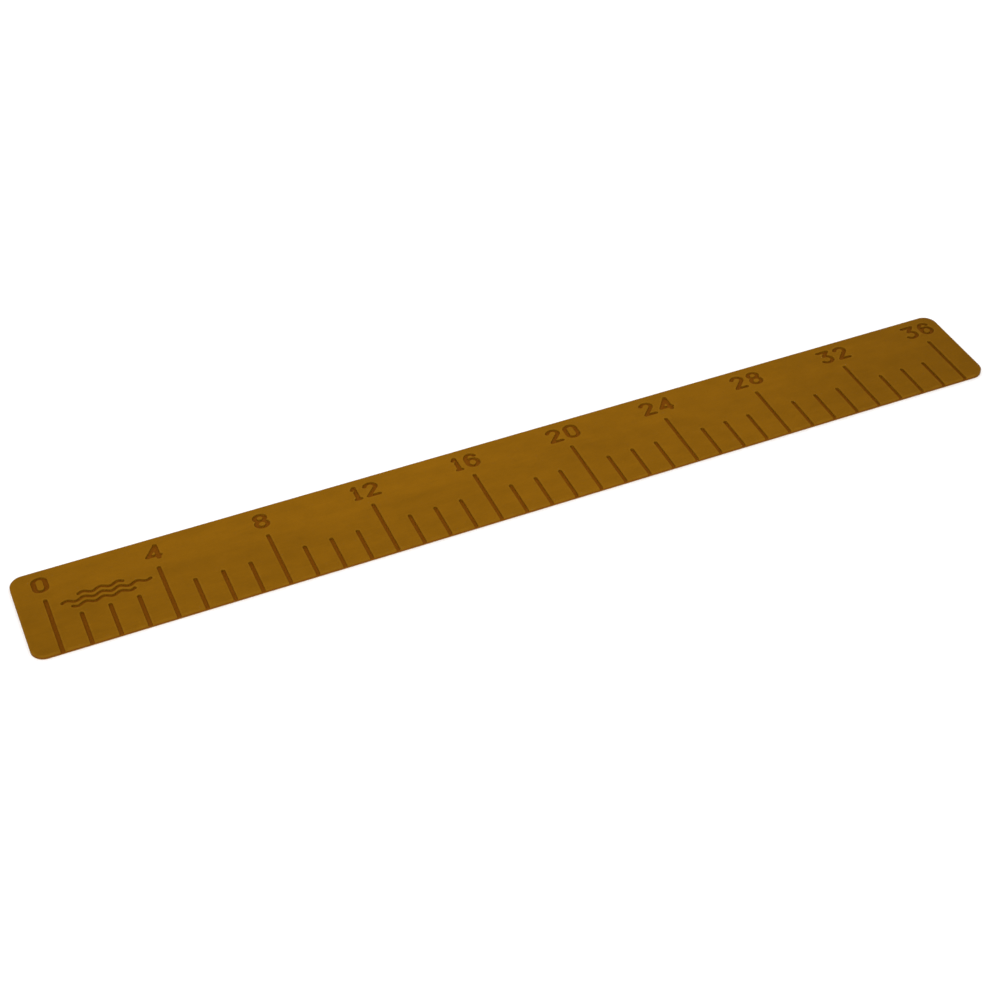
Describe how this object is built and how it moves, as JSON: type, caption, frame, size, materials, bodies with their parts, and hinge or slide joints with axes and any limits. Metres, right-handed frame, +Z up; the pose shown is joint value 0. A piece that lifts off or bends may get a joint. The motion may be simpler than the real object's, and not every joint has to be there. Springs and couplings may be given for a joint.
{
  "type": "foam deck ruler",
  "caption": "Flat brown foam ruler whose inch marks and numerals are cut through to a dark ply, on an adhesive backing with a peel-off liner.",
  "frame": {"origin": "centre of the underside of the release liner, on the surface that the ruler lies on", "axes": "+X along the scale from 0 to 36, +Y across it from the marked edge to the numerals, +Z up out of the marked face"},
  "size_m": [0.9652, 0.1016, 0.0043],
  "materials": {
    "brown_foam": "matte",
    "dark_foam": "matte",
    "adhesive_film": "satin",
    "liner_paper": "satin"
  },
  "bodies": {
    "strip": {"top_ply": "brown_foam", "numeral_0_island": "brown_foam", "numeral_4_island": "brown_foam", "numeral_8_island": "brown_foam", "numeral_8_upper_island": "brown_foam", "numeral_16_island": "brown_foam", "numeral_20_island": "brown_foam", "numeral_24_island": "brown_foam", "numeral_28_island": "brown_foam", "numeral_28_upper_island": "brown_foam", "numeral_36_island": "brown_foam", "base_ply": "dark_foam", "adhesive_sheet": "adhesive_film"},
    "liner_left": {"release_liner_left": "liner_paper"},
    "liner_right": {"release_liner_right": "liner_paper"}
  },
  "joints": [
    {"name": "liner_left_pull", "type": "slide", "parent": "strip", "child": "liner_left", "axis": [-1, 0, 0], "range_m": [0, 0.49]},
    {"name": "liner_right_pull", "type": "slide", "parent": "strip", "child": "liner_right", "axis": [1, 0, 0], "range_m": [0, 0.49]}
  ]
}
